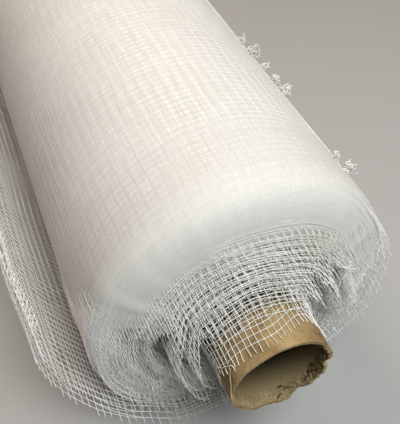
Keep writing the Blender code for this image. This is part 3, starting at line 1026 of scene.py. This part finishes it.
def loosened_turn(index, top_mm, inset_mm, radius_mm, slack_share):
    """Bundles of one loosened turn, tight on the roll above and slack below."""
    seed = 600 + index
    draw = np.random.RandomState(seed)
    fringe = draw.uniform(0.002, 0.006, LOOSENED_THREADS)
    lean = draw.normal(0, 0.0007, LOOSENED_THREADS)
    phase = draw.uniform(0, 6.28)
    width = LOOSENED_ROWS * ROUND_PITCH

    def thickness(angle, share):
        # A thread shows less of its thickness where it still lies among the turns
        free = np.maximum(share_at(HANGING_SHARE, angle), share_at(FLANK_SHARE, angle))
        return (0.1 + 0.9 * smooth(free / 0.6)) * (0.12 + 0.88 * smooth(1 + share / LOOSENED_RUN))

    def ringed(angle, share, up):
        ragged = 0.0018 * wander(seed, angle, 1.3) + 0.0008 * wander(seed + 1, angle, 0.31)
        # Past its first row a turn runs on along the roll, and on the left flank it stands off
        past = np.maximum(-share, 0.0) * width
        forward = np.maximum(share, 0.0)
        flank = share_at(FLANK_SHARE, angle)
        off = smooth(past / 0.03) * (1 - 0.7 * smooth(past / 0.13)) * flank
        along = LOOSENED_START + past + (top_mm * MM + ragged - LOOSENED_START) * forward
        up = up * thickness(angle, share)
        tight = on_roll(angle, along, up - 0.0016 - 0.0002 * index + off * (0.0019 + 0.0007 * index))
        depth = LOOSENED_BELOW + past + (inset_mm * MM + ragged - LOOSENED_BELOW) * forward
        slack = RIGHT_SLACK * smooth(1 - np.abs((np.degrees(angle) + 180) % 360 - 158) / 68)
        slack = slack + (1 - smooth(past / 0.03)) * LEFT_SLACK * flank
        wavy = 0.0011 * wander(seed + 2, angle + depth * 4, 0.9)
        radius = radius_mm * MM + slack * slack_share + wavy + up
        radius = radius + off * (ROLL_RADIUS + 0.0003 + 0.0006 * index - radius_mm * MM)
        x = radius * np.cos(angle)
        z = np.maximum(radius * np.sin(angle), 0.0022 + 0.0006 * index - AXIS_Z + up)
        hang = share_at(HANGING_SHARE, angle) * (1 - (1 - slack_share) * share_at(KEPT_SHARE, angle))
        return [a + (b - a) * hang for a, b in zip(tight, (x, NEAR_Y + depth, AXIS_Z + z))]

    def lengthwise(number, share, aside, up):
        end = 1 + fringe[number] / width
        share = end - (end + LOOSENED_RUN) * (1 - share)
        sway = lean[number] + 0.001 * wander(seed + 3, share + number * 0.17, 0.9)
        angle = 2 * math.pi * number / LOOSENED_THREADS + phase + sway / ROLL_RADIUS
        angle = angle + aside * thickness(angle, share) / ROLL_RADIUS
        return ringed(angle, share, up - CROSSING_LIFT)

    def roundgoing(number, share, aside, up):
        angle = 2 * math.pi * share - math.pi / 2
        return ringed(angle, 1 - (number + aside / ROUND_PITCH) / LOOSENED_ROWS, up + CROSSING_LIFT)

    return [(LOOSENED_THREADS, 16, lengthwise), (LOOSENED_ROWS, AROUND_COUNT, roundgoing)]


loosened = []
for turn_number, turn in enumerate(LOOSENED_TURNS):
    loosened += loosened_turn(turn_number, *turn)
netting("loosened_turns", loosened, LOOSENED_TWINE_RADIUS)

# Far end turns
# The other edges of the same turns, which slipped away from this end and left it dished. The
# edge of each turn stands as a ring of net with short cut thread ends.

FAR_TURN_COUNT = 28
FAR_THREAD_PITCH = 0.0097
FAR_RUN = 0.012

# The dished end: radius of a turn, and distance in from the tube's far end to its edge, in mm
FAR_EDGE_MM = (
    (44.5, 88.0), (53.0, 76.0), (65.0, 69.5), (77.0, 64.0), (89.0, 58.0), (101.0, 50.0),
    (113.0, 40.0), (124.5, 31.5), (128.2, 35.0),
)


def far_turn(turn):
    """Bundles of one ring of net edge, numbered from the tube out to the rim of the dished end."""
    seed = 300 + turn
    draw = np.random.RandomState(seed)
    radii, insets = (np.array(column) * MM for column in zip(*FAR_EDGE_MM))
    radius = radii[0] + (radii[-1] - radii[0]) * turn / (FAR_TURN_COUNT - 1)
    edge = float(np.interp(radius, radii, insets)) + draw.uniform(-0.001, 0.001)
    count = int(2 * math.pi * radius / FAR_THREAD_PITCH)
    fringe = draw.uniform(0.002, 0.007, count)
    lean = draw.normal(0, 0.0007, count)
    phase = draw.uniform(0, 6.28)

    def ringed(angle, out, along):
        x, z = flattened(radius + out, angle)
        ripple = 0.0012 * wander(seed, angle, 2.4) + 0.0006 * wander(seed + 1, angle, 0.6)
        return x, FAR_Y - edge - ripple + along, AXIS_Z + z

    def lengthwise(number, share, aside, up):
        along = -FAR_RUN + (FAR_RUN + fringe[number]) * share
        bend = lean[number] * (1 + 2 * smooth(along / 0.006))
        angle = 2 * math.pi * number / count + phase + (bend + aside) / radius
        return ringed(angle, up - CROSSING_LIFT - 0.0012 * smooth(along / 0.006), along)

    def roundgoing(number, share, aside, up):
        angle = 2 * math.pi * share - math.pi / 2
        return ringed(angle, up + CROSSING_LIFT, aside - number * ROUND_PITCH)

    return [(count, 3, lengthwise), (2, max(count, 48), roundgoing)]


far_turns = []
for turn_number in range(FAR_TURN_COUNT):
    far_turns += far_turn(turn_number)
netting("far_end_turns", far_turns)

# Loose last turn
# The outer end of the net, one open layer: over the top against the roll, slack down its right
# side, flat on the floor under it, and its free end rising and curling on the left.

NET_THICKNESS = 0.0012
CLEARANCE = 0.0003
WOUND_PART = (188, 40)
SECTION_STEP_DEGREES = 4

# How far it stands off the roll down the right side: angle in degrees and distance in mm
RIGHT_STAND_OFF_MM = (
    (-76, 0.7), (-68, 2.4), (-60, 4.8), (-48, 8.2), (-32, 10.2), (-16, 9.6), (0, 7.5), (16, 4.2),
    (28, 1.8), (40, 0.0),
)

# Where it lies on the floor, and the curve of its free end: x, and z from the axis, in mm
FLOOR_X_MM = (22, 0, -22, -40)
FREE_END_MM = (
    (-56, -126.2), (-70, -121.4), (-84, -112.0), (-98, -100.0), (-112, -85.5), (-125, -69.0),
    (-136, -52.0), (-146, -34.0), (-154, -16.0), (-160, 2.0), (-164, 20.0), (-165.5, 38.0),
    (-164, 54.0), (-160, 66.0),
)

# Along the roll: distance in from the tube's near end, share of the right side's stand-off, and
# how much further out and up the free edge reaches in mm
ALONG_ROLL = (
    (0.05, 1.00, -2.0, 0.0), (0.14, 0.75, 7.0, 2.0), (0.26, 0.55, 13.0, 4.0),
    (0.40, 0.95, 10.0, -2.0), (0.54, 0.60, 6.0, -6.0), (0.70, 1.10, 12.0, 3.0),
    (0.88, 0.70, 8.0, 6.0), (1.06, 0.90, 2.0, -4.0), (1.20, 0.65, -4.0, -2.0),
    (1.32, 1.00, -8.0, 4.0),
)

# Near edge, by the share of the way along the section: distance in from the tube's near end
NEAR_EDGE = (
    (0.00, 0.098), (0.40, 0.098), (0.47, 0.091), (0.53, 0.080), (0.60, 0.068), (0.70, 0.058),
    (0.80, 0.055), (0.92, 0.060), (1.00, 0.068),
)

# Over the top of the roll the loose turn lies pressed into the turns under it
PRESSED_TO = 0.43
PRESSED_DEPTH = 0.00138
PRESSED_EDGE_DEPTH = 0.0010
PRESSED_SLIMMER = 0.30
PRESSED_FLAT = 0.85

# The turn under it has come away too along the free end, and hangs a few millimetres inside
INNER_PLY_LENGTH = 0.27
INNER_PLY_SKEW = 0.012
INNER_PLY_GAP = 0.0042

# Half the length over which the section's direction is taken
AHEAD = 0.002


def loose_columns():
    """The section's points: x and z, what slack adds to them, and how much the free end takes."""
    touching = ROLL_RADIUS + CLEARANCE + NET_THICKNESS / 2
    floor_z = NET_THICKNESS / 2 - AXIS_Z + 0.0004
    start, stop = WOUND_PART
    angles, outs = zip(*RIGHT_STAND_OFF_MM)
    rows = []
    for angle in range(start, angles[0] - 1, -SECTION_STEP_DEGREES):
        across = math.cos(math.radians(angle))
        high = math.sin(math.radians(angle))
        slack = np.interp(angle, angles, outs) * MM if angle < stop else 0.0
        rows.append((touching * across, max(touching * high, floor_z), slack * across, slack * high, 0.0))
    rows += [(x * MM, floor_z, 0.0, 0.0, 0.0) for x in FLOOR_X_MM]
    last = len(FREE_END_MM)
    rows += [(x * MM, z * MM, 0.0, 0.0, (place + 1) / last) for place, (x, z) in enumerate(FREE_END_MM)]
    return np.array(rows).T


LOOSE = loose_columns()
LOOSE_RUN = np.concatenate(([0.0], np.cumsum(np.hypot(*np.diff(LOOSE[:2] + 0.7 * LOOSE[2:4], axis=1)))))
LOOSE_LENGTH = float(LOOSE_RUN[-1])


def curve_read(values, place):
    """Read a row of evenly numbered values at fractional places, on a smooth curve through them."""
    last = len(values) - 1
    at = np.clip(np.floor(place).astype(int), 0, last - 1)
    t = place - at
    before, start, end, after = (values[np.clip(at + step, 0, last)] for step in (-1, 0, 1, 2))
    bend = (2 * before - 5 * start + 4 * end - after) * t**2 + (3 * start - before - 3 * end + after) * t**3
    return start + 0.5 * ((end - before) * t + bend)


def loose_mid(run, inset):
    """Mid-surface of the loose turn: x and z from the axis, a run along it and an inset."""
    place = np.interp(run, LOOSE_RUN, np.arange(len(LOOSE_RUN)))
    x, z, slack_x, slack_z, rise = (curve_read(column, place) for column in LOOSE)
    slack, out, up = eased(ALONG_ROLL, inset)
    rise = np.clip(rise, 0.0, 1.0)
    x = x + slack_x * slack - out * MM * rise**2
    z = z + slack_z * slack + up * MM * rise**3
    return x, np.maximum(z, LOOSE[1].min())


def on_loose(run, inset, lift):
    """Place on the loose turn, with a lift off its outer side."""
    beyond = np.clip(run - LOOSE_LENGTH, 0.0, None)
    x, z = loose_mid(np.clip(run, 0.0, LOOSE_LENGTH), inset)
    middle = np.clip(run, AHEAD, LOOSE_LENGTH - AHEAD)
    ahead_x, ahead_z = loose_mid(middle + AHEAD, inset)
    behind_x, behind_z = loose_mid(middle - AHEAD, inset)
    run_x = ahead_x - behind_x
    run_z = ahead_z - behind_z
    length = np.hypot(run_x, run_z)
    x = x + (beyond * run_x - lift * run_z) / length
    z = z + (beyond * run_z + lift * run_x) / length
    return x, NEAR_Y + inset, AXIS_Z + z


def pressed(run, inset):
    """How far the loose turn is pressed into the roll, its threads' slimness and crossing lift."""
    share = smooth((PRESSED_TO * LOOSE_LENGTH - run) / 0.05)
    sunk = share * (PRESSED_DEPTH + PRESSED_EDGE_DEPTH * smooth((0.150 - inset) / 0.055))
    return sunk, 1 - PRESSED_SLIMMER * share, CROSSING_LIFT * (1 - PRESSED_FLAT * share)


def inner_drop(run):
    """How far inside the loose turn the ply under it hangs."""
    from_start = run - (LOOSE_LENGTH - INNER_PLY_LENGTH)
    return INNER_PLY_GAP * smooth(from_start / 0.06) * (0.8 + 0.2 * np.cos(run * 40)) + 0.0008


def loose_turn():
    """The loose layer as threads both ways, with cut ends past its near, far and free edges."""
    draw = np.random.RandomState(61)
    columns = int(LOOSE_LENGTH / LENGTHWISE_PITCH) + 1
    inner_columns = int(INNER_PLY_LENGTH / LENGTHWISE_PITCH) + 1
    rows = int(NET_WIDTH / ROUND_PITCH) + 1
    near_fringe = draw.uniform(0.002, 0.007, columns)
    far_fringe = draw.uniform(0.002, 0.006, columns)
    end_fringe = draw.uniform(0.001, 0.006, rows)
    lean = draw.normal(0, 0.0007, columns)
    gap = draw.normal(0, 0.00035, rows)

    def edge_at(run):
        return eased(NEAR_EDGE, run / LOOSE_LENGTH)[0] + 0.0012 * wander(62, run, 0.12)

    def sway_at(run, inset):
        # The open weave is pulled a little out of true
        return 0.0016 * wander(63, inset + 0.3 * run, 0.31) + 0.0007 * wander(64, inset - run, 0.09)

    def lengthwise(number, share, aside, up):
        run = number * LENGTHWISE_PITCH
        along = -near_fringe[number] + (NET_WIDTH + near_fringe[number] + far_fringe[number]) * share
        inset = edge_at(run) + along
        run = run + lean[number] + sway_at(run, inset)
        sunk, slim, crossing = pressed(run, inset)
        return on_loose(run + aside * slim, inset, up * slim - crossing - sunk)

    def roundgoing(number, share, aside, up):
        run = (LOOSE_LENGTH + end_fringe[number]) * share
        inset = edge_at(run) + number * ROUND_PITCH + gap[number]
        inset = inset + 0.0009 * wander(65, run + number * 0.021, 0.19)
        sunk, slim, crossing = pressed(run, inset)
        return on_loose(run, inset + aside * slim, up * slim + crossing - sunk)

    def inner_lengthwise(number, share, aside, up):
        run = LOOSE_LENGTH - 0.006 - number * LENGTHWISE_PITCH
        inset = edge_at(run) + 0.004 + (NET_WIDTH - 0.008) * share
        skewed = run + INNER_PLY_SKEW * (inset - 0.6) + lean[number] + sway_at(run + 0.2, inset)
        return on_loose(skewed + aside, inset, up - CROSSING_LIFT - inner_drop(run))

    def inner_roundgoing(number, share, aside, up):
        run = LOOSE_LENGTH - 0.002 - (INNER_PLY_LENGTH + 0.004) * share
        inset = edge_at(run) + 0.0048 + number * ROUND_PITCH + 0.035 * (run - LOOSE_LENGTH)
        inset = inset + 0.0009 * wander(66, run + number * 0.017, 0.17)
        return on_loose(run, inset + aside, up + CROSSING_LIFT - inner_drop(run))

    bundles = (
        (columns, 44, lengthwise),
        (rows, 92, roundgoing),
        (inner_columns, 44, inner_lengthwise),
        (rows - 2, 30, inner_roundgoing),
    )
    return netting("loose_turn_net", bundles)


loose_turn_net = loose_turn()
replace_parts(loose_turn_net, "loose_turn")

# Frayed bits
# Tufts of broken thread that the net has caught: on the right of the loose turn, and one
# crumpled in the slipped end. A loose thread and a torn strip of the paper lie on the tube.

FRAY_RADIUS = 0.00038
STRIP_RADIUS = 0.00045

# Tuft: angle round the roll in degrees, distance in from the tube's near end, reach in mm,
# distance out from the roll's radius in mm, and number of threads
TUFTS = (
    (35, 0.112, 5.0, 4.0, 14), (36, 0.128, 3.5, 3.0, 9), (35, 0.222, 6.0, 4.0, 16),
    (36, 0.240, 5.0, 3.0, 12), (36, 0.262, 4.5, 3.5, 10), (37, 0.285, 6.0, 4.0, 14),
    (37, 0.310, 4.0, 3.0, 8),
)

# The crumpled one: angle in degrees, distance along the outline and reach in mm, and threads
CRUMPLE = (27, 78.0, 9.5, 12)

# Loose thread and torn strip on the tube: angle in degrees, distance in from the rim and lift,
# both in mm
LOOP_ROUTE = (
    (172, 36.0, 0.4), (175, 31.0, 0.8), (176, 26.0, 1.2), (166, 19.0, 1.2), (155, 14.5, 1.2),
    (149, 12.0, 1.4), (147, 9.0, 1.2), (148, 6.0, 0.8),
)
STRIP_ROUTE = (
    (150, 17.0, 0.6), (152, 14.7, 0.9), (153, 11.0, 0.7), (158, 7.0, 0.9), (163, 2.5, 0.7),
    (169, -1.5, 1.2), (172, -4.3, 1.6),
)


def laid_on_tube(route):
    """Bundle of the one strand that lies on the tube along a route."""
    columns = np.array(route, float).T

    def path(number, share, aside, up):
        degrees, inset, lift = (curve_read(column, share * (len(column) - 1)) for column in columns)
        radius = TUBE_RADIUS + lift * MM + up
        x, y, z = about_axis(radius, np.radians(degrees), NEAR_Y + inset * MM)
        return x + aside, y + aside, z

    return [(1, 28, path)]


def tuft(centre, reach, count, seed):
    """Bundle of short curly threads that start round a place."""
    draw = np.random.RandomState(seed)
    starts = draw.normal(0, 0.35, (count, 3)) * reach + np.array(centre)
    turns = draw.uniform(0, 6.28, (count, 6))
    waves = draw.uniform(2.5, 6.5, (count, 3))

    def path(number, share, aside, up):
        curl = np.sin(share[:, None] * waves[number] + turns[number, :3])
        drift = (share - 0.5)[:, None] * np.cos(turns[number, 3:])
        x, y, z = (starts[number] + reach * (0.55 * curl + 0.5 * drift)).T
        return x + aside, y + up * 0.7, z + up

    return [(count, 9, path)]


threads = []
for tuft_number, (degrees, inset, reach_mm, out_mm, count) in enumerate(TUFTS):
    tuft_centre = about_axis(ROLL_RADIUS + out_mm * MM, math.radians(degrees), NEAR_Y + inset)
    threads += tuft(tuft_centre, reach_mm * MM, count, 700 + tuft_number)
degrees, along_mm, reach_mm, count = CRUMPLE
crumple_centre = on_roll(np.array([math.radians(degrees)]), np.array([along_mm * MM]), 0.0015)
threads += tuft([float(axis[0]) for axis in crumple_centre], reach_mm * MM, count, 700 + len(TUFTS))
threads += laid_on_tube(LOOP_ROUTE)
netting("frayed_threads", threads, FRAY_RADIUS)

# Torn kraft paper, rolled up narrow: soft and uneven in tone along its length, in two browns
kraft_strip = net_twine("torn_kraft_paper", "#A88C60", "#C4A97C")
netting("torn_paper_strip", laid_on_tube(STRIP_ROUTE), STRIP_RADIUS, kraft_strip)

# Studio
# A plain pale floor, soft light from above and behind that leaves the near end and the left
# side in gentle shade, and a camera at the photograph's angle.

FLOOR_GREY = "#A9A9A8"
FLOOR_PALE_GREY = "#AFAFAE"
FLOOR_BLOTCHES_PER_M = 3.0
ROOM_WHITE = "#F4EFEA"
ROOM_LIGHT = 0.08
CAMERA_PLACE = (-0.1441, NEAR_Y - 0.1934, AXIS_Z + 0.431)
CAMERA_AZIMUTH = -22.08
CAMERA_ELEVATION = 47.15
IMAGE_HEIGHT_PX = 424
FOCAL_LENGTH_PX = 643.2
SENSOR_HEIGHT_MM = 24.0

# Soft boxes: name, place, side length, power in watts and colour, and the place they light
SOFT_BOXES = (
    ("overhead", (-0.24, 0.50, 1.75), 1.0, 17.0, "#FFE4D3"),
    ("front", (0.25, -1.20, 1.45), 0.9, 26.0, "#F6FAF8"),
)
LIT_PLACE = (0, -0.35, 0.1)

floor_shape = bmesh.new()
bmesh.ops.create_grid(floor_shape, x_segments=1, y_segments=1, size=4.0)
floor_mesh = bpy.data.meshes.new("studio_floor")
floor_shape.to_mesh(floor_mesh)
floor_shape.free()
floor = bpy.data.objects.new("studio_floor", floor_mesh)
bpy.context.scene.collection.objects.link(floor)
floor_paint, floor_shader = bare_material("matt_floor_paint")
floor_place = add(floor_paint, "TexCoord", output="Object")
blotchy = add(floor_paint, "TexNoise", {"Vector": floor_place, "Scale": FLOOR_BLOTCHES_PER_M})
greys = {"Factor": blotchy, "A": FLOOR_GREY, "B": FLOOR_PALE_GREY}
floor_tone = add(floor_paint, "Mix", greys, "Result", **RGBA)
put(floor_paint, floor_shader, {"Base Color": floor_tone, "Roughness": 0.9})
floor_mesh.materials.append(floor_paint)

camera = bpy.data.objects.new("camera", bpy.data.cameras.new("camera"))
bpy.context.scene.collection.objects.link(camera)
camera.location = CAMERA_PLACE
camera.rotation_euler = (math.radians(90 - CAMERA_ELEVATION), 0, math.radians(CAMERA_AZIMUTH))
camera.data.sensor_fit = "VERTICAL"
camera.data.sensor_height = SENSOR_HEIGHT_MM
camera.data.lens = SENSOR_HEIGHT_MM * FOCAL_LENGTH_PX / IMAGE_HEIGHT_PX
camera.data.clip_start = 0.01
bpy.context.scene.camera = camera

for name, place, side, power, colour in SOFT_BOXES:
    light = bpy.data.lights.new(name, "AREA")
    light.shape = "SQUARE"
    light.size = side
    light.energy = power
    light.color = linear(colour)[:3]
    lamp = bpy.data.objects.new(name, light)
    bpy.context.scene.collection.objects.link(lamp)
    lamp.location = place
    towards = Vector(LIT_PLACE) - Vector(place)
    lamp.rotation_euler = towards.to_track_quat("-Z", "Y").to_euler()

world = bpy.data.worlds.new("studio")
world.use_nodes = True
background = world.node_tree.nodes["Background"]
background.inputs["Color"].default_value = linear(ROOM_WHITE)
background.inputs["Strength"].default_value = ROOM_LIGHT
bpy.context.scene.world = world
bpy.context.scene.view_settings.view_transform = "Standard"
